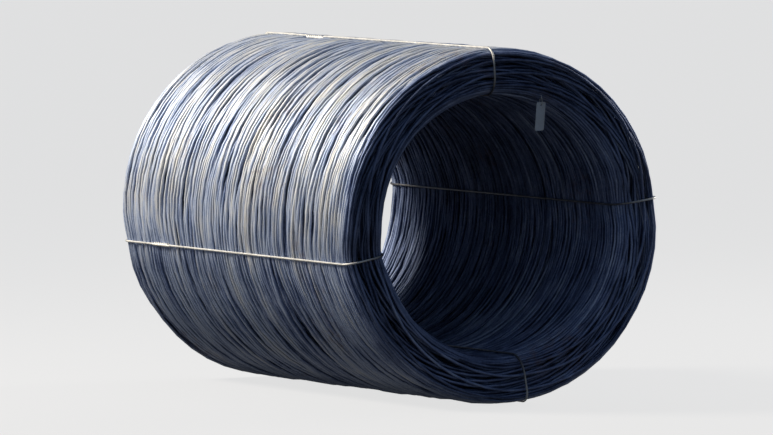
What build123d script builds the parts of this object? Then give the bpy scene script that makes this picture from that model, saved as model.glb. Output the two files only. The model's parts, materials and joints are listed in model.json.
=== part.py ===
from build123d import *
import os
from math import cos, radians, sin, sqrt

# Coil of hot rolled wire rod, lying on its side and bound by four wire ties.
# The coil's own axis lies level along Y, and the end seen first faces -Y. The
# origin is on the floor under the middle of the coil, with Z up. Millimetres.

# the rod and the coil it is wound into
rod_diameter = 10.0
coil_outer_diameter = 1250.0
coil_inner_diameter = 900.0
coil_length = 1800.0
shoulder_radius = 62.0  # rounded outer corner of each end
throat_radius = 90.0  # rounded inner corner of each end, round the mouth of the bore
turns_across = 8  # turns drawn side by side on an end, fewer than the real coil has
turn_relief = rod_diameter / 2  # from the crest of a turn on an end down to the groove beside it

# the four ties, by their place on the clock face of the near end
tie_top_angle = -4.0  # degrees, clockwise from straight up
tie_right_angle = 82.0
tie_bottom_angle = 171.0
tie_left_angle = -101.0
tie_diameter = 7.0
tie_clearance = 0.3
tie_sides = 8  # a round wire, kept to eight flats
corner_bite = 18.0  # how much tighter a tie turns each corner than the turns beside it do
side_sink = 0.4  # how far a tie lies below the turns along the bore and the outside
end_sink = 14.0  # and across the ends, where it pulls the turns in most
pinch_slope = 3.2  # of the hollow that a tie pulls into the turns: across for each unit down
pinch_floor = 14.0  # width of the hollow right under the tie

outer_radius = coil_outer_diameter / 2
inner_radius = coil_inner_diameter / 2
half_length = coil_length / 2
tie_radius = tie_diameter / 2
axle = Axis((0, 0, outer_radius), (0, 1, 0))
tie_angles = {
    "tie_top": tie_top_angle,
    "tie_right": tie_right_angle,
    "tie_bottom": tie_bottom_angle,
    "tie_left": tie_left_angle,
}


def corner_drop(radius):
    """How far the rounded end of the coil stands back from its flat at this radius."""
    past_shoulder = max(radius - (outer_radius - shoulder_radius), 0)
    past_throat = max(inner_radius + throat_radius - radius, 0)
    shoulder_drop = shoulder_radius - sqrt(shoulder_radius**2 - past_shoulder**2)
    throat_drop = throat_radius - sqrt(throat_radius**2 - past_throat**2)
    return max(shoulder_drop, throat_drop)


# Section of the coil through its upper wall, X along the coil and Y away from its axis.
# Each end is a row of turns: a crest in the middle of each one and a groove between two.
half_turn = (outer_radius - inner_radius) / turns_across / 2
far_outline = [(half_length - throat_radius, inner_radius)]
for step in range(1, 2 * turns_across):
    radius = inner_radius + step * half_turn
    groove = turn_relief if step % 2 == 0 else 0.0
    far_outline.append((half_length - corner_drop(radius) - groove, radius))
far_outline.append((half_length - shoulder_radius, outer_radius))
near_outline = [(-along, radius) for along, radius in reversed(far_outline)]


def tie_plane(angle):
    """Plane through the coil's axis at a clock angle: X along the coil, Y away from its axis."""
    turn = radians(angle)
    return Plane(origin=axle.position, x_dir=(0, 1, 0), z_dir=(cos(turn), 0, -sin(turn)))


# The line of a tie round the wall of the coil, sunk a little into the turns.
run_outside = outer_radius - side_sink - tie_radius
run_inside = inner_radius + side_sink + tie_radius
run_end = half_length - end_sink - tie_radius
outer_bend = shoulder_radius - corner_bite
inner_bend = throat_radius - corner_bite


def tie_line(plane):
    """Closed line of a tie, begun in the middle of its outside run."""
    with BuildLine(plane) as line:
        Line((0, run_outside), (run_end - outer_bend, run_outside))
        JernArc((run_end - outer_bend, run_outside), (1, 0), outer_bend, -90)
        Line((run_end, run_outside - outer_bend), (run_end, run_inside + inner_bend))
        JernArc((run_end, run_inside + inner_bend), (0, -1), inner_bend, -90)
        Line((run_end - inner_bend, run_inside), (inner_bend - run_end, run_inside))
        JernArc((inner_bend - run_end, run_inside), (-1, 0), inner_bend, -90)
        Line((-run_end, run_inside + inner_bend), (-run_end, run_outside - outer_bend))
        JernArc((-run_end, run_outside - outer_bend), (0, 1), outer_bend, -90)
        Line((outer_bend - run_end, run_outside), (0, run_outside))
    return line


def start_plane(plane):
    """Plane across the tie where its line begins: Y away from the coil's axis."""
    return Plane(origin=plane.from_local_coords((0, run_outside, 0)), x_dir=-plane.z_dir, z_dir=plane.x_dir)


# The hollow under a tie, seen along the tie: a narrow floor and two sloping sides.
hollow_floor = -tie_radius - tie_clearance
hollow_top = end_sink + tie_diameter
half_floor = pinch_floor / 2
half_top = half_floor + (hollow_top - hollow_floor) * pinch_slope

with BuildPart() as wire_coil:
    section_plane = Plane(origin=axle.position, x_dir=(0, 1, 0), z_dir=(1, 0, 0))
    with BuildSketch(section_plane):
        with BuildLine():
            Polyline(*far_outline, *near_outline, close=True)
        make_face()
    revolve(axis=axle)
    for tie_angle in tie_angles.values():
        plane = tie_plane(tie_angle)
        hollow_line = tie_line(plane)
        with BuildSketch(start_plane(plane)):
            with BuildLine():
                Polyline(
                    (-half_floor, hollow_floor),
                    (half_floor, hollow_floor),
                    (half_top, hollow_top),
                    (-half_top, hollow_top),
                    close=True,
                )
            make_face()
        sweep(path=hollow_line.wire(), mode=Mode.SUBTRACT)


def make_tie(angle):
    """One wire tie, closed round the wall of the coil."""
    plane = tie_plane(angle)
    with BuildPart() as tie:
        line = tie_line(plane)
        with BuildSketch(start_plane(plane)):
            RegularPolygon(tie_radius, tie_sides, major_radius=False, rotation=180 / tie_sides)
        sweep(path=line.wire())
    return tie


os.makedirs("parts", exist_ok=True)
wire_coil.part.label = "wire_coil"
export_step(wire_coil.part, "parts/wire_coil.step")
for tie_name, tie_angle in tie_angles.items():
    wire_tie = make_tie(tie_angle)
    wire_tie.part.label = tie_name
    export_step(wire_tie.part, f"parts/{tie_name}.step")
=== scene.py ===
"""Looks of the coil of wire rod: each turn of the rod, its wire ties and a blank tag."""

import json
import math

import bpy
import numpy as np
from mathutils import Matrix, Vector


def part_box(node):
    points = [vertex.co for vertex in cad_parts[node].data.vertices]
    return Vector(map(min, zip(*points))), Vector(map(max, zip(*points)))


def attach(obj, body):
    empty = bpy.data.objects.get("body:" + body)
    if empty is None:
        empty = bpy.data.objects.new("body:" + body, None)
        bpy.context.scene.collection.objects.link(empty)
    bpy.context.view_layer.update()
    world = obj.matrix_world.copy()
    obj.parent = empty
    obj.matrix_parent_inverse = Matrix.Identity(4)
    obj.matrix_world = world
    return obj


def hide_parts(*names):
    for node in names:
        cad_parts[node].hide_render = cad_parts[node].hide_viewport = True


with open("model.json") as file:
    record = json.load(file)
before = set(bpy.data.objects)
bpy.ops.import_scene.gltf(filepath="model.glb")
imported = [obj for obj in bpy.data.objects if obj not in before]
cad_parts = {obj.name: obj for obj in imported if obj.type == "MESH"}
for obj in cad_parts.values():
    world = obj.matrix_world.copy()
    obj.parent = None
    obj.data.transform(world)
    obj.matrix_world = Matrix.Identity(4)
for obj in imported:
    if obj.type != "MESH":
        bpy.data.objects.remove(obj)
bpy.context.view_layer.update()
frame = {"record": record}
scene = bpy.context.scene

# Sizes of the coil in metres, taken from the frame
EYE = next(mount for mount in frame["record"]["mounts"] if mount["name"] == "eye")
AXIS_HEIGHT = EYE["pos_m"][2]
OUTER = AXIS_HEIGHT  # the coil rests on the floor
INNER = EYE["dims"]["r_mm"] / 1000
HALF_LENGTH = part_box("wire_coil")[1].y
RING_RADIUS = (OUTER + INNER) / 2  # of a turn, and of the middle of the wall
HALF_WALL = (OUTER - INNER) / 2

# Sizes that the part's source has too
ROD_RADIUS = 0.005
TIE_RADIUS = 0.0035
SHOULDER, THROAT = 0.062, 0.09  # rounding of the ends, outside and inside
TIE_BITE = 0.018  # how much tighter a tie turns each corner than the turns beside it do
SIDE_SINK, END_SINK = 0.0004, 0.014  # how far a tie lies below the coil's outline


def clock_of(node):
    """Angle of a tie round the coil, in degrees clockwise from straight up, seen from the near end."""
    low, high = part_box(node)
    middle = (low + high) / 2
    return round(math.degrees(math.atan2(middle.x, middle.z - AXIS_HEIGHT)), 1)


TIES = {name: clock_of(name) for name in ("tie_top", "tie_right", "tie_bottom", "tie_left")}
KNOTS = {"tie_top": 0.47, "tie_right": 0.52, "tie_bottom": 0.50, "tie_left": 0.57}  # place along the coil

# The camera stands at the photograph's viewing angle, far away and with a long lens
VIEW_AZIMUTH, VIEW_ELEVATION = math.radians(-27.5), math.radians(3.0)
VIEW_DISTANCE = 38.0
VIEW_DROP = 0.01  # how far below the coil's axis the camera looks
LENS_LENGTH = 500  # in millimetres
VIEW_LIMIT = 500


def new_object(name, data):
    """An object in the scene, made from a mesh, a lamp or a camera."""
    made = bpy.data.objects.new(name, data)
    scene.collection.objects.link(made)
    return made


def aim(viewer, target):
    """Turns a lamp or camera so that it looks at a point."""
    viewer.rotation_mode = "QUATERNION"
    viewer.rotation_quaternion = (Vector(target) - viewer.location).to_track_quat("-Z", "Y")


def make_camera():
    """The camera, aimed at the middle of the coil."""
    data = bpy.data.cameras.new("camera")
    data.lens = LENS_LENGTH
    data.clip_end = VIEW_LIMIT
    camera = new_object("camera", data)
    target = Vector((0.0, 0.0, AXIS_HEIGHT - VIEW_DROP))
    camera.location = target + VIEW_DISTANCE * Vector((
        math.sin(VIEW_AZIMUTH) * math.cos(VIEW_ELEVATION),
        -math.cos(VIEW_AZIMUTH) * math.cos(VIEW_ELEVATION),
        math.sin(VIEW_ELEVATION),
    ))
    aim(camera, target)
    return camera


scene.camera = make_camera()

# The lie of the rod: each turn is a ring set off centre, with its neighbours pushed apart
TURNS = 960
OFFSET = HALF_WALL - ROD_RADIUS  # most that a turn is set off centre
RING_WALK = math.radians(44)  # how far the off-centre direction turns from one ring to the next
CROWDING = 0.24  # share by which the turns lie closer at the ends than if evenly spread
SKIN_WAVES, MIDDLE_WAVE = 0.004, 0.5  # greatest depth of the waves in the outside, and their middle share
FOOT = 0.02  # height, as a share of the radius, below which these waves fade out toward the floor
CALM_BY_TIE = 0.25  # where a tie acts more strongly than this, the outside has no waves
SEED = 23
SPARE = 2  # so that the noise has values to spare
TINY = 1e-9  # keeps a division from being by 0

# How far the ties pull the turns in, and how far to each side of a tie this reaches
END_PULL, SIDE_PULL = 0.0216, 0.0078
END_REACH, SIDE_REACH = 0.13, 0.08
KNOT_PULL, KNOT_REACH = 0.0075, 0.07  # added under a knot, and its reach along the tie
STRAIGHT_REACH = 0.3  # within this the rod wavers less along the coil

# How the turns are pushed apart
ROUNDS, LAST_ROUNDS = 40, 3  # in all, and at the end with less smoothing
PASSES, LAST_PASSES = 4, 1  # of smoothing in each round, and in each of the last ones
NEIGHBOURS = 14  # turns on each side that a turn is kept off
PUSH = 0.9  # share of an overlap that one round takes away, before the smoothing

# The rod is worked out at these angles from each tie, in degrees, and about this far apart elsewhere
NEAR_TIE = (-9.5, -6.2, -3.7, -1.7, 0, 1.7, 3.7, 6.2, 9.5)
FREE_STEP = 6.7


def clock_samples():
    """Angles round one turn at which the rod is worked out, in degrees."""
    ties = np.sort(np.mod(list(TIES.values()), 360))
    found = []
    for here, after in zip(ties, np.roll(ties, -1)):
        gap = (after - here) % 360 - 2 * NEAR_TIE[-1]
        count = round(gap / FREE_STEP)
        found += [here + angle for angle in NEAR_TIE]
        found += [here + NEAR_TIE[-1] + gap * step / count for step in range(1, count)]
    return np.sort(np.mod(found, 360))


CLOCK = clock_samples()
STEPS = len(CLOCK)
SAMPLES = TURNS * STEPS
TURN = np.repeat(np.arange(TURNS), STEPS) + np.tile(CLOCK, TURNS) / 360
ANGLE = 2 * np.pi * TURN


def eased(share):
    """A share from 0 to 1 that starts and ends gently."""
    return share * share * (3 - 2 * share)


def slow_noise(rng, every, size):
    """Smooth noise about 0 along the whole rod, with a fresh value about every so many turns."""
    stretches = int(TURNS / every) + SPARE
    values = rng.normal(size=stretches + SPARE)
    place = TURN / TURNS * stretches
    before = place.astype(int)
    share = eased(place - before)
    return size * (values[before] * (1 - share) + values[before + 1] * share)


def patches(rng, along, length, parts, size):
    """Smooth noise about 0 over the wall: a fresh value for each length along it and each part round it."""
    values = rng.normal(size=(int(2 * HALF_LENGTH / length) + 1 + SPARE, parts))
    across, around = (along + HALF_LENGTH) / length, np.mod(TURN, 1) * parts
    row, column = across.astype(int), around.astype(int)
    share_across, share_around = eased(across - row), eased(around - column)
    column = column % parts
    after = (column + 1) % parts
    here = values[row, column] * (1 - share_around) + values[row, after] * share_around
    beyond = values[row + 1, column] * (1 - share_around) + values[row + 1, after] * share_around
    return size * (here * (1 - share_across) + beyond * share_across)


def smoothed(values, passes):
    """Values along the rod with short bends taken out, as a stiff rod takes them out."""
    for _ in range(passes):
        inner = values[:-4] + 4 * values[1:-3] + 6 * values[2:-2] + 4 * values[3:-1] + values[4:]
        values = np.concatenate([values[:2], inner / 16, values[-2:]])
    return values


def beside(tie, reach, power):
    """How strongly a tie acts at each sample: 1 under it, 0 past its reach."""
    away = np.abs(np.angle(np.exp(1j * (ANGLE - math.radians(TIES[tie]))))) * RING_RADIUS
    return np.clip(1 - (away / reach) ** 2, 0, 1) ** power


END_WEIGHT = sum(beside(tie, END_REACH, power=2) for tie in TIES)
SIDE_WEIGHTS = {tie: beside(tie, SIDE_REACH, power=2) for tie in TIES}
SIDE_WEIGHT = sum(SIDE_WEIGHTS.values())
UNTIED = 1 - np.clip(sum(beside(tie, STRAIGHT_REACH, power=1) for tie in TIES), 0, 1)


def side_draw(along):
    """How far the outside of the coil is drawn in: a little under a tie, more under its knot."""
    return sum(
        weight * (SIDE_PULL + KNOT_PULL * np.exp(-((along - KNOTS[tie]) / KNOT_REACH) ** 4))
        for tie, weight in SIDE_WEIGHTS.items()
    )


def hold_in(radius, along, skin):
    """Keeps the rod's middle inside the coil's outline, which is drawn in under each tie."""
    low = INNER + ROD_RADIUS + SIDE_PULL * SIDE_WEIGHT
    high = OUTER - ROD_RADIUS - side_draw(along) - skin
    end = HALF_LENGTH - ROD_RADIUS - END_PULL * END_WEIGHT
    radius = np.clip(radius, low, high)
    sign = np.sign(along)
    along = np.minimum(np.abs(along), end)
    for edge, facing, free in ((high, 1, SHOULDER), (low, -1, THROAT)):
        corner = free - ROD_RADIUS - (TIE_BITE + TIE_RADIUS) * END_WEIGHT
        over_radius = np.maximum(facing * (radius - edge) + corner, 0)
        over_along = np.maximum(along - end + corner, 0)
        over = np.hypot(over_radius, over_along)
        back = np.where(over > corner, 1 - corner / np.maximum(over, TINY), 0)
        radius = radius - facing * back * over_radius
        along = along - back * over_along
    return radius, sign * along


def push_apart(radius, along):
    """Moves that take overlapping turns off each other, worked out at each angle round the coil."""
    radius, along = radius.reshape(TURNS, STEPS), along.reshape(TURNS, STEPS)
    order = np.argsort(along, axis=0)
    sorted_places = [np.take_along_axis(places, order, 0) for places in (radius, along)]
    moves = [np.zeros((TURNS, STEPS)) for _ in sorted_places]
    for further in range(1, NEIGHBOURS + 1):
        gaps = [places[further:] - places[:-further] for places in sorted_places]
        away = np.hypot(*gaps) + TINY
        share = np.maximum(2 * ROD_RADIUS - away, 0) / 2 / away
        for move, gap in zip(moves, gaps):
            move[further:] += share * gap
            move[:-further] -= share * gap
    unsorted_moves = [np.zeros((TURNS, STEPS)) for _ in moves]
    for unsorted_move, move in zip(unsorted_moves, moves):
        np.put_along_axis(unsorted_move, order, move, 0)
    return [move.ravel() for move in unsorted_moves]


def loose_rings(rng):
    """Radius and place along the coil of every sample, before the turns are pushed apart."""
    # The lean is the direction in which a turn is set off centre, in radians
    lean = RING_WALK * TURN + slow_noise(rng, every=3, size=0.6) + slow_noise(rng, every=20, size=1.2)
    offset = OFFSET - np.abs(slow_noise(rng, every=2.2, size=0.004))
    offset -= np.abs(slow_noise(rng, every=12, size=0.004))
    ring = RING_RADIUS + slow_noise(rng, every=1.7, size=0.002) + slow_noise(rng, every=9, size=0.002)
    away = ANGLE - lean
    radius = offset * np.cos(away) + np.sqrt(ring**2 - (offset * np.sin(away)) ** 2)
    place = 2 * TURN / TURNS - 1
    place += CROWDING / np.pi * np.sin(np.pi * place)
    along = place * (HALF_LENGTH - ROD_RADIUS) + slow_noise(rng, every=6, size=0.002)
    along += slow_noise(rng, every=0.35, size=0.003) * UNTIED
    return radius, along * (1 - END_PULL / HALF_LENGTH * END_WEIGHT)


def skin_depth(rng, along):
    """Depth of the waves in the outside of the coil, which fade out by the ties and on the floor."""
    waves = MIDDLE_WAVE + patches(rng, along, length=0.045, parts=9, size=0.6)
    depth = SKIN_WAVES * np.clip(waves, 0, 1)
    depth *= 1 - np.clip(SIDE_WEIGHT / CALM_BY_TIE, 0, 1)
    depth *= np.clip((1 + np.cos(ANGLE)) / FOOT, 0, 1)
    return depth


def lay_rod(rng):
    """Radius from the coil's axis, and place along it, of every sample of the rod."""
    start_radius, start_along = loose_rings(rng)
    skin = skin_depth(rng, start_along)
    radius, along = hold_in(start_radius, start_along, skin)
    for done in range(ROUNDS):
        radius_move, along_move = push_apart(radius, along)
        passes = PASSES if done < ROUNDS - LAST_ROUNDS else LAST_PASSES
        radius = start_radius + smoothed(radius + PUSH * radius_move - start_radius, passes)
        along = start_along + smoothed(along + PUSH * along_move - start_along, passes)
        radius, along = hold_in(radius, along, skin)
    return radius, along


# Making pieces
def tube(name, points, out, radius, sides):
    """A round tube along points, with out as one direction across it at each point."""
    forward = np.gradient(points, axis=0)
    forward /= np.linalg.norm(forward, axis=1)[:, None]
    across = np.cross(forward, out)
    across /= np.linalg.norm(across, axis=1)[:, None]
    up = np.cross(across, forward)
    turn = 2 * np.pi * np.arange(sides) / sides
    rings = points[:, None] + radius * (
        np.cos(turn)[None, :, None] * up[:, None] + np.sin(turn)[None, :, None] * across[:, None]
    )
    count = len(points)
    first = np.arange(count - 1)[:, None] * sides
    side = np.arange(sides)[None, :]
    following = (side + 1) % sides
    quads = np.stack([first + side, first + following, first + sides + following, first + sides + side], -1)
    caps = np.concatenate([np.arange(sides)[::-1], (count - 1) * sides + np.arange(sides)])
    corners = np.concatenate([quads.ravel(), caps])
    starts = np.concatenate([np.arange(quads.size // 4) * 4, quads.size + np.array([0, sides])])
    mesh = bpy.data.meshes.new(name)
    mesh.vertices.add(count * sides)
    mesh.vertices.foreach_set("co", rings.astype(np.float32).ravel())
    mesh.loops.add(len(corners))
    mesh.loops.foreach_set("vertex_index", corners.astype(np.int32))
    mesh.polygons.add(len(starts))
    mesh.polygons.foreach_set("loop_start", starts.astype(np.int32))
    # The two caps come last and stay flat, so that they don't shade the sides next to them
    mesh.polygons.foreach_set("use_smooth", np.arange(len(starts)) < len(starts) - 2)
    mesh.update(calc_edges=True)
    mesh.validate()
    return new_object(name, mesh)


def wrap_map(piece, count, sides, steps):
    """A texture map in which each side of a turn is a row of so many steps, so that no sides overlap."""
    first, side = np.divmod(np.arange((count - 1) * sides), sides)
    row, step = np.divmod(first, steps)
    rows = (count - 1 + steps - 1) // steps * sides
    left, low = step / steps, (row * sides + side) / rows
    right, high = left + 1 / steps, low + 1 / rows
    corners = np.stack([left, low, left, high, right, high, right, low], axis=1)
    cap_corners = np.zeros(4 * sides)
    layer = piece.data.uv_layers.new(name="OFBake")
    layer.data.foreach_set("uv", np.concatenate([corners.ravel(), cap_corners]).astype(np.float32))


def point_values(piece, name, values):
    """Stores one number for each vertex, for the material to read."""
    layer = piece.data.attributes.new(name, "FLOAT", "POINT")
    layer.data.foreach_set("value", np.asarray(values, np.float32))


def dress(piece, material, slot, *nodes):
    """Gives a piece its material and body, and hides the parts it stands for. Its slot is not used."""
    piece.data.materials.append(material)
    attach(piece, "root")
    if nodes:
        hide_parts(*nodes)


# Materials
def new_material(name):
    """A material and its Principled shader."""
    material = bpy.data.materials.new(name)
    material.use_nodes = True
    return material, material.node_tree.nodes["Principled BSDF"]


def node(material, kind, inputs=None, **settings):
    """A shader node with its settings made and its inputs set or linked."""
    made = material.node_tree.nodes.new("ShaderNode" + kind)
    for key, value in settings.items():
        setattr(made, key, value)
    for key, value in (inputs or {}).items():
        socket = made.inputs[key]
        if isinstance(value, bpy.types.NodeSocket):
            material.node_tree.links.new(value, socket)
        else:
            socket.default_value = value
    return made


def feed(material, shader, sockets):
    """Links what differs over the surface to the shader, by the names of its sockets."""
    for name, value in sockets.items():
        material.node_tree.links.new(value, shader.inputs[name])


def object_place(material):
    """Place in the object's own space, which is the frame's."""
    return node(material, "TexCoord").outputs["Object"]


def point_value(material, name):
    """One of the numbers stored for each vertex."""
    return node(material, "Attribute", attribute_name=name).outputs["Fac"]


def spread(material, value, low=0.0, high=1.0, to_low=0.0, to_high=1.0):
    """A value stretched from one range to another and kept inside it."""
    inputs = {"Value": value, "From Min": low, "From Max": high, "To Min": to_low, "To Max": to_high}
    return node(material, "MapRange", inputs).outputs["Result"]


def noise(material, place, scale, detail):
    """Noise over space."""
    inputs = {"Scale": scale, "Detail": detail, "Vector": place}
    return node(material, "TexNoise", inputs).outputs["Fac"]


def cloudy(material, place, scale, detail, low=0.3, high=0.7):
    """Noise over space, of which the range from low to high fills 0 to 1."""
    return spread(material, noise(material, place, scale, detail), low, high)


def streaky(material, along, scale, detail, low=0.25, high=0.75):
    """Noise over the length of the rod, of which the range from low to high fills 0 to 1."""
    inputs = {"Scale": scale, "Detail": detail, "W": along}
    made = node(material, "TexNoise", inputs, noise_dimensions="1D")
    return spread(material, made.outputs["Fac"], low, high)


def total(material, *shares):
    """The sum of (socket, weight) pairs."""
    result = 0.0
    for socket, weight in shares:
        inputs = {0: socket, 1: weight, 2: result}
        result = node(material, "Math", inputs, operation="MULTIPLY_ADD").outputs[0]
    return result


def product(material, first, second):
    """Two values multiplied."""
    return node(material, "Math", {0: first, 1: second}, operation="MULTIPLY").outputs[0]


def ramp(material, value, stops):
    """Colour from a value, by (place, colour) stops."""
    made = node(material, "ValToRGB", {"Fac": value})
    elements = made.color_ramp.elements
    while len(elements) < len(stops):
        elements.new(0.5)
    for element, (place, colour) in zip(elements, stops):
        element.position = place
        element.color = (*colour, 1)
    return made.outputs["Color"]


def mix(material, share, first, second):
    """A colour between two others. Sockets 6 and 7 of this node are its two colours."""
    inputs = {"Factor": share, 6: first, 7: (*second, 1)}
    return node(material, "Mix", inputs, data_type="RGBA").outputs[2]


def bumps(material, height, strength, depth):
    """Normals for a surface that rises by depth where height is 1."""
    made = node(material, "Bump", {"Height": height, "Strength": strength, "Distance": depth})
    return made.outputs["Normal"]


def mill_scale_material():
    """Hot rolled steel: blue-grey scale, streaked along the rod, with a little rust."""
    material, shader = new_material("mill_scale")
    place = object_place(material)
    along = point_value(material, "along")
    # Random tone of the rod, with painted light on the outside and painted shade elsewhere added in
    tone = point_value(material, "tone")
    long_streak = streaky(material, along, scale=1.1, detail=2)
    short_streak = streaky(material, along, scale=14, detail=3)
    cloud = cloudy(material, place, scale=7, detail=4)
    fleck = cloudy(material, place, scale=160, detail=3)
    shade = total(
        material, (tone, 0.58), (long_streak, 0.14), (short_streak, 0.10), (cloud, 0.10), (fleck, 0.08)
    )
    scale = ramp(material, shade, [
        (0.22, (0.022, 0.04, 0.10)),
        (0.40, (0.18, 0.235, 0.40)),
        (0.54, (0.44, 0.515, 0.68)),
        (0.74, (0.72, 0.72, 0.71)),
    ])
    rust_place = cloudy(material, place, scale=3.2, detail=5, low=0.56, high=0.74)
    rust_fleck = cloudy(material, place, scale=42, detail=4, low=0.45, high=0.7)
    brown, most_rust = (0.22, 0.12, 0.08), 0.6
    rust = spread(material, product(material, rust_place, rust_fleck), to_high=most_rust)
    rough = total(material, (fleck, 0.10), (short_streak, 0.10), (rust, 0.25))
    pits = noise(material, place, scale=420, detail=2)
    feed(material, shader, {
        "Base Color": mix(material, rust, scale, brown),
        "Roughness": spread(material, rough, high=0.4, to_low=0.48, to_high=0.70),
        "Metallic": spread(material, rust, high=most_rust, to_low=0.4, to_high=0.1),
        "Normal": bumps(material, pits, strength=0.25, depth=0.0006),
    })
    return material


def tie_material():
    """Wire painted paler the further it lies from the bore, as painted light, and dark over the bore, as
    painted shade.
    """
    material, shader = new_material("tie_wire")
    place = object_place(material)
    scuff = cloudy(material, place, scale=60, detail=4)
    cloud = cloudy(material, place, scale=9, detail=3)
    # Painted light and shade: 1 on the outside of the coil, 0 over the bore
    rubbed = point_value(material, "rubbed")
    shade = total(material, (rubbed, 0.6), (scuff, 0.2), (cloud, 0.2))
    feed(material, shader, {
        "Base Color": ramp(material, shade, [
            (0.15, (0.10, 0.10, 0.11)),
            (0.55, (0.50, 0.49, 0.46)),
            (0.95, (0.90, 0.88, 0.83)),
        ]),
        "Roughness": spread(material, scuff, to_low=0.34, to_high=0.52),
        "Normal": bumps(material, scuff, strength=0.2, depth=0.0005),
    })
    shader.inputs["Metallic"].default_value = 0.3
    return material


def tag_material():
    """Sheet metal painted white, dulled by handling."""
    material, shader = new_material("tag_plate")
    place = object_place(material)
    cloud = cloudy(material, place, scale=22, detail=4)
    speck = cloudy(material, place, scale=300, detail=3, low=0.62, high=0.75)
    paint = ramp(material, cloud, [(0.1, (0.82, 0.81, 0.77)), (0.8, (0.93, 0.93, 0.91))])
    grime, worn = (0.30, 0.27, 0.24), spread(material, speck, to_high=0.5)
    feed(material, shader, {
        "Base Color": mix(material, worn, paint, grime),
        "Roughness": spread(material, cloud, to_low=0.38, to_high=0.55),
        "Normal": bumps(material, cloud, strength=0.15, depth=0.001),
    })
    return material


# The rod, in pieces of 159 or 160 turns that join near the bottom of the coil
ROD_SIDES, ROD_PIECES = 6, 6
ROD_ENDS = 0.55  # place of both ends of the rod and of each join, as a share of a turn's samples

# How pale the rod is: 0.5 lies between its dark scale and the pale tone that painted light gives the
# outside
MIDDLE_TONE = 0.5
LEVEL_PASSES = 30  # of smoothing, so that a patch doesn't change with each bend of the rod

# The outside is painted paler down to its sides, as painted light, and the rest, that is the ends, the bore
# and the turns within the wall, is painted darker, as painted shade
OUTSIDE_PAINTED_LIGHT, UNDERSIDE_PAINTED_SHADE, INSIDE_PAINTED_SHADE = 0.20, 0.20, 0.20
PAINTED_LIGHT_DEPTH, PAINTED_LIGHT_FADE = 0.035, 0.022  # how deep the painted light reaches, and over what depth it fades in
END_PAINTED_SHADE_WIDTH, END_FADE = 0.015, 0.04  # width of the edge at each end that gets painted shade instead of painted light, and of the fade beside it
# The underside, where the outside is painted darker again as painted shade, begins at this cosine of the
# angle from straight up, and is whole this much further down
SIDE_COSINE, SIDE_FADE = 0.05, 0.35


def tone_and_painted_light_of(rng, radius, along):
    """How pale the rod is at each sample: stretches along it, patches, painted light on the outside and
    painted shade on the rest.
    """
    tone = MIDDLE_TONE + slow_noise(rng, every=0.9, size=0.05) + slow_noise(rng, every=5, size=0.03)
    level = smoothed(along, LEVEL_PASSES)
    tone += patches(rng, level, length=0.022, parts=5, size=0.07)
    tone += patches(rng, level, length=0.09, parts=3, size=0.04)
    # Painted light on the outside, fading out at each end; painted shade below the sides and on all the
    # rest
    outside = np.clip((radius - OUTER + PAINTED_LIGHT_DEPTH) / PAINTED_LIGHT_FADE, 0, 1)
    outside *= np.clip((HALF_LENGTH - END_PAINTED_SHADE_WIDTH - np.abs(along)) / END_FADE, 0, 1)
    underside = np.clip((SIDE_COSINE - np.cos(ANGLE)) / SIDE_FADE, 0, 1)
    tone += (OUTSIDE_PAINTED_LIGHT - UNDERSIDE_PAINTED_SHADE * underside) * outside - INSIDE_PAINTED_SHADE * (1 - outside)
    return tone


def make_rod():
    """Makes the rod's pieces and returns the points of the whole rod."""
    rng = np.random.default_rng(SEED)
    radius, along = lay_rod(rng)
    outward = np.stack([np.sin(ANGLE), np.zeros(SAMPLES), np.cos(ANGLE)], axis=1)
    points = np.stack([radius * np.sin(ANGLE), along, AXIS_HEIGHT + radius * np.cos(ANGLE)], axis=1)
    run = np.concatenate([[0], np.cumsum(np.linalg.norm(np.diff(points, axis=0), axis=1))])
    # How pale each sample is, painted light and shade included
    tone = tone_and_painted_light_of(rng, radius, along)
    whole_turns = np.linspace(0, TURNS - 1, ROD_PIECES + 1).round()
    bounds = ((whole_turns + ROD_ENDS) * STEPS).astype(int)
    mill_scale = mill_scale_material()
    for number, (start, end) in enumerate(zip(bounds, bounds[1:]), start=1):
        span = slice(start, end + 1)
        piece = tube(f"rod_turns_{number}", points[span], outward[span], ROD_RADIUS, ROD_SIDES)
        wrap_map(piece, len(points[span]), ROD_SIDES, STEPS)
        point_values(piece, "tone", np.repeat(tone[span], ROD_SIDES))
        point_values(piece, "along", np.repeat(run[span], ROD_SIDES))
        dress(piece, mill_scale, "mill_scale_rod", "wire_coil")
    return points[bounds[0]:bounds[-1] + 1]


rod_points = make_rod()

# The ties: each a wire led once round the wall, its two ends twisted together on the outside
TIE_HALF_WALL = HALF_WALL - SIDE_SINK - TIE_RADIUS
TIE_HALF_LENGTH = HALF_LENGTH - END_SINK - TIE_RADIUS
KNOT_HALF, KNOT_TURNS, KNOT_LEAD = 0.055, 3.5, 0.02  # half its length, turns in it, and lead-in beside it
TWIST_RADIUS = 1.05 * TIE_RADIUS  # of the line that each end follows in the knot
KNOT_STEP = 0.0025  # between points of the wire in a knot
BEND_STEPS = 12  # in each corner
WIRE_SIDES = 10
PAINTED_LIGHT_MARGIN = 0.03  # over the bore and under the outside, within which the painted light and shade on a tie don't change


def tie_corners():
    """Places (along, radius) and outward directions at a tie's four corners, the far outer one first."""
    spots, faces = [], []
    # Each corner is a quarter circle, clockwise from its start in degrees
    for start, bend in ((90, SHOULDER), (0, THROAT), (-90, THROAT), (-180, SHOULDER)):
        bend -= TIE_BITE
        along = (TIE_HALF_LENGTH - bend) * (1 if start >= 0 else -1)
        above = (TIE_HALF_WALL - bend) * (1 if start in (90, -180) else -1)
        for step in range(BEND_STEPS + 1):
            turn = math.radians(start - 90 * step / BEND_STEPS)
            facing = (math.cos(turn), math.sin(turn))
            spots.append((along + bend * facing[0], RING_RADIUS + above + bend * facing[1]))
            faces.append(facing)
    return np.array(spots), np.array(faces)


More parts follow.
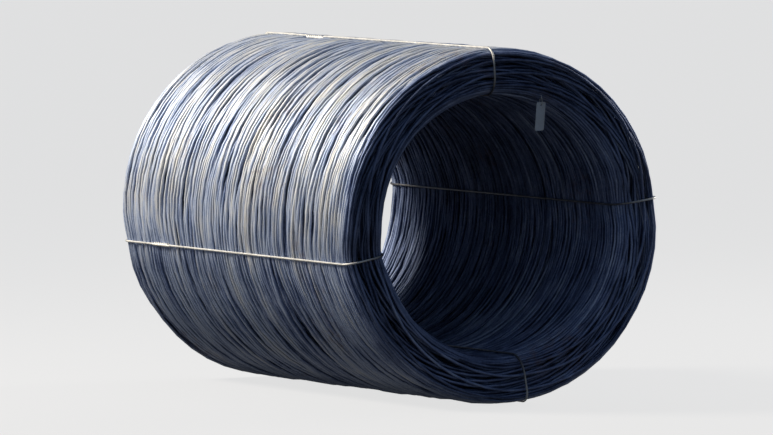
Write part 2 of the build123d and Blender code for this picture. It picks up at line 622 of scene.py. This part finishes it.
def tie_line(clock, knot):
    """Points of a tie wire and the outward direction at each."""
    spots, faces = tie_corners()
    overlap = KNOT_HALF + KNOT_LEAD
    lead = np.arange(-KNOT_HALF, overlap, KNOT_STEP)[:, None]
    level = np.full_like(lead, RING_RADIUS + TIE_HALF_WALL)
    first = np.hstack([knot + lead, level])
    last = np.hstack([knot - lead[::-1], level])
    upward = np.array([[0.0, 1.0]]).repeat(len(lead), 0)
    # In the plane of the tie, as (along, radius)
    flat = np.vstack([first, spots, last])
    facing = np.vstack([upward, faces, upward])
    # Each end winds round a line that lies one twist radius below the rest of the wire
    away = flat[:, 0] - knot
    in_knot = np.r_[np.ones(len(lead)), np.zeros(len(spots)), np.ones(len(lead))]
    wound = TWIST_RADIUS * eased(np.clip((overlap - np.abs(away)) / KNOT_LEAD, 0, 1) * in_knot)
    half_turn = np.r_[np.zeros(len(lead) + len(spots)), np.full(len(lead), np.pi)]
    turn = np.pi * KNOT_TURNS * away / KNOT_HALF + half_turn
    flat = flat + facing * (wound * (np.cos(turn) - 1))[:, None]
    aside = wound * np.sin(turn)
    radial = np.array([math.sin(clock), 0, math.cos(clock)])
    axial = np.array([0, 1, 0])
    round_way = np.array([math.cos(clock), 0, -math.sin(clock)])
    line = np.outer(flat[:, 0], axial) + np.outer(flat[:, 1], radial) + np.outer(aside, round_way)
    outward = np.outer(facing[:, 0], axial) + np.outer(facing[:, 1], radial)
    return line + np.array([0, 0, AXIS_HEIGHT]), outward


def make_tie(name, material):
    """One tie, painted paler, as painted light, the nearer it lies to the outside of the coil."""
    line, outward = tie_line(math.radians(TIES[name]), KNOTS[name])
    piece = tube(name + "_wire", line, outward, TIE_RADIUS, WIRE_SIDES)
    over_bore = np.hypot(line[:, 0], line[:, 2] - AXIS_HEIGHT) - INNER
    # Painted light on the outside and painted shade over the bore, by the distance from the bore
    rubbed = np.clip((over_bore - PAINTED_LIGHT_MARGIN) / (OUTER - INNER - 2 * PAINTED_LIGHT_MARGIN), 0, 1)
    point_values(piece, "rubbed", np.repeat(rubbed, WIRE_SIDES))
    dress(piece, material, "tie_wire", name)


tie_wire = tie_material()
for tie_name in TIES:
    make_tie(tie_name, tie_wire)

# The tag: a blank plate hung by a loop of thin wire from a turn at the mouth of the bore
TAG_CLOCK, TAG_RADIUS, TAG_ALONG = math.radians(16), 0.478, -0.862  # about where that turn is
TAG_WIDTH, TAG_HEIGHT, TAG_THICKNESS, TAG_CORNER = 0.05, 0.10, 0.0012, 0.007
TAG_CORNER_STEPS = 6
HOLE_RADIUS, HOLE_DROP, HOLE_POINTS = 0.004, 0.010, 24  # drop from the plate's top edge
TAG_TURN, TAG_TILT = math.radians(24), math.radians(5)  # round the vertical, and out of it
LOOP_RADIUS, LOOP_SIDES, LOOP_POINTS = 0.0011, 8, 49
LOOP_DROP, LOOP_TWIST = 0.026, 0.002  # clear height under the turn, and bend out of the loop's plane


def poly_curve(curve, corners):
    """Adds a closed outline to a flat curve."""
    spline = curve.splines.new("POLY")
    spline.points.add(len(corners) - 1)
    for point, (x, y) in zip(spline.points, corners):
        point.co = (x, y, 0, 1)
    spline.use_cyclic_u = True


def arc(middle, radius, start, sweep, steps):
    """Points of an arc, with angles in degrees."""
    turns = [math.radians(start + sweep * step / steps) for step in range(steps + 1)]
    return [(middle[0] + radius * math.cos(turn), middle[1] + radius * math.sin(turn)) for turn in turns]


def tag_plate():
    """The plate in its own plane, with the middle of its hole at the origin."""
    curve = bpy.data.curves.new("tag_outline", "CURVE")
    curve.dimensions = "2D"
    curve.fill_mode = "BOTH"
    curve.extrude = TAG_THICKNESS / 2
    side = TAG_WIDTH / 2 - TAG_CORNER
    top = HOLE_DROP - TAG_CORNER
    low = HOLE_DROP - TAG_HEIGHT + TAG_CORNER
    corners = []
    for middle, start in (((side, top), 0), ((-side, top), 90), ((-side, low), 180), ((side, low), 270)):
        corners += arc(middle, TAG_CORNER, start, sweep=90, steps=TAG_CORNER_STEPS)
    poly_curve(curve, corners)
    # The last point of a whole circle is the first one again, so it is left out
    hole = arc((0, 0), HOLE_RADIUS, start=0, sweep=360, steps=HOLE_POINTS)
    poly_curve(curve, hole[:-1])
    holder = bpy.data.objects.new("tag_outline", curve)
    mesh = bpy.data.meshes.new_from_object(holder)
    bpy.data.objects.remove(holder)
    return mesh


def hang_tag(rod_points, wire):
    """Hangs the plate and its loop of wire from the turn nearest to the chosen spot."""
    spot = np.array([
        TAG_RADIUS * math.sin(TAG_CLOCK), TAG_ALONG, AXIS_HEIGHT + TAG_RADIUS * math.cos(TAG_CLOCK)
    ])
    carrier = rod_points[np.argmin(np.linalg.norm(rod_points - spot, axis=1))]
    drop = LOOP_DROP / 2
    turn = np.linspace(0, 2 * np.pi, LOOP_POINTS)
    loop = carrier + np.stack([
        LOOP_TWIST * np.sin(2 * turn),
        (ROD_RADIUS + 2 * LOOP_RADIUS) * np.sin(turn),
        -drop + (drop + ROD_RADIUS + LOOP_RADIUS) * np.cos(turn),
    ], axis=1)
    outward = np.stack([np.zeros(LOOP_POINTS), np.sin(turn), np.cos(turn)], axis=1)
    ring = tube("tag_loop", loop, outward, LOOP_RADIUS, LOOP_SIDES)
    # The loop takes the ties' palest tone, which on them is painted light
    point_values(ring, "rubbed", np.ones(LOOP_POINTS * LOOP_SIDES))
    dress(ring, wire, "tie_wire")
    lowest = loop[LOOP_POINTS // 2]
    mesh = tag_plate()
    place = Matrix.Translation(lowest) @ Matrix.Rotation(TAG_TURN, 4, "Z")
    mesh.transform(place @ Matrix.Rotation(math.radians(90) + TAG_TILT, 4, "X"))
    dress(new_object("tag", mesh), tag_material(), "tie_wire")


hang_tag(rod_points, tie_wire)

# Floor and light
GLOSS_SHARE = 0.15  # of the background that glossy rays see
FLOOR_REACH = 400  # to each side
FLOOR_GLOW = 0.73


def seen_directly(tree):
    """How far a ray shows the background: fully from the camera or through glass, less by way of gloss."""
    ray = tree.nodes.new("ShaderNodeLightPath")
    result = ray.outputs["Is Camera Ray"]
    for kind, share in (("Is Glossy Ray", GLOSS_SHARE), ("Is Transmission Ray", 1)):
        either = tree.nodes.new("ShaderNodeMath")
        either.operation = "MULTIPLY_ADD"
        either.use_clamp = True
        tree.links.new(ray.outputs[kind], either.inputs[0])
        either.inputs[1].default_value = share
        tree.links.new(result, either.inputs[2])
        result = either.outputs[0]
    return result


def floor_material():
    """Pale floor that also shows pale where no lamp reaches it, and keeps the coil's shadow."""
    material, shader = new_material("pale_floor")
    shader.inputs["Base Color"].default_value = (0.06, 0.06, 0.062, 1)
    shader.inputs["Roughness"].default_value = 0.9
    shader.inputs["Specular IOR Level"].default_value = 0.1
    shader.inputs["Emission Color"].default_value = (1, 1, 1, 1)
    seen = seen_directly(material.node_tree)
    feed(material, shader, {"Emission Strength": product(material, seen, FLOOR_GLOW)})
    return material


def make_floor():
    """A level square, far wider than the view."""
    mesh = bpy.data.meshes.new("floor")
    corners = [(x * FLOOR_REACH, y * FLOOR_REACH, 0) for x, y in ((-1, -1), (1, -1), (1, 1), (-1, 1))]
    mesh.from_pydata(corners, [], [(0, 1, 2, 3)])
    mesh.materials.append(floor_material())
    return new_object("floor", mesh)


def pale_world():
    """Soft bluish light from all round, which shows as a pale backdrop."""
    world = bpy.data.worlds.new("world")
    world.use_nodes = True
    tree = world.node_tree
    light = tree.nodes["Background"]
    light.inputs["Color"].default_value = (0.40, 0.62, 1.0, 1)
    light.inputs["Strength"].default_value = 0.15
    backdrop = tree.nodes.new("ShaderNodeBackground")
    backdrop.inputs["Color"].default_value = (0.75, 0.76, 0.78, 1)
    choice = tree.nodes.new("ShaderNodeMixShader")
    tree.links.new(seen_directly(tree), choice.inputs[0])
    tree.links.new(light.outputs[0], choice.inputs[1])
    tree.links.new(backdrop.outputs[0], choice.inputs[2])
    tree.links.new(choice.outputs[0], tree.nodes["World Output"].inputs["Surface"])
    return world


def make_lamp(name, place, size, power, colour):
    """A round soft lamp that shines at the middle of the coil."""
    data = bpy.data.lights.new(name, "AREA")
    data.shape = "DISK"
    data.size = size
    data.energy = power
    data.color = colour
    lamp = new_object(name, data)
    lamp.location = place
    aim(lamp, (0, 0, AXIS_HEIGHT))


floor = make_floor()
make_lamp("key", place=(-5.6, 2.7, 6.0), size=2.6, power=1020, colour=(1.0, 0.92, 0.79))
make_lamp("fill", place=(8.0, 1.2, 3.2), size=4.0, power=420, colour=(1.0, 0.96, 0.90))
scene.world = pale_world()
scene.view_settings.view_transform = "Standard"
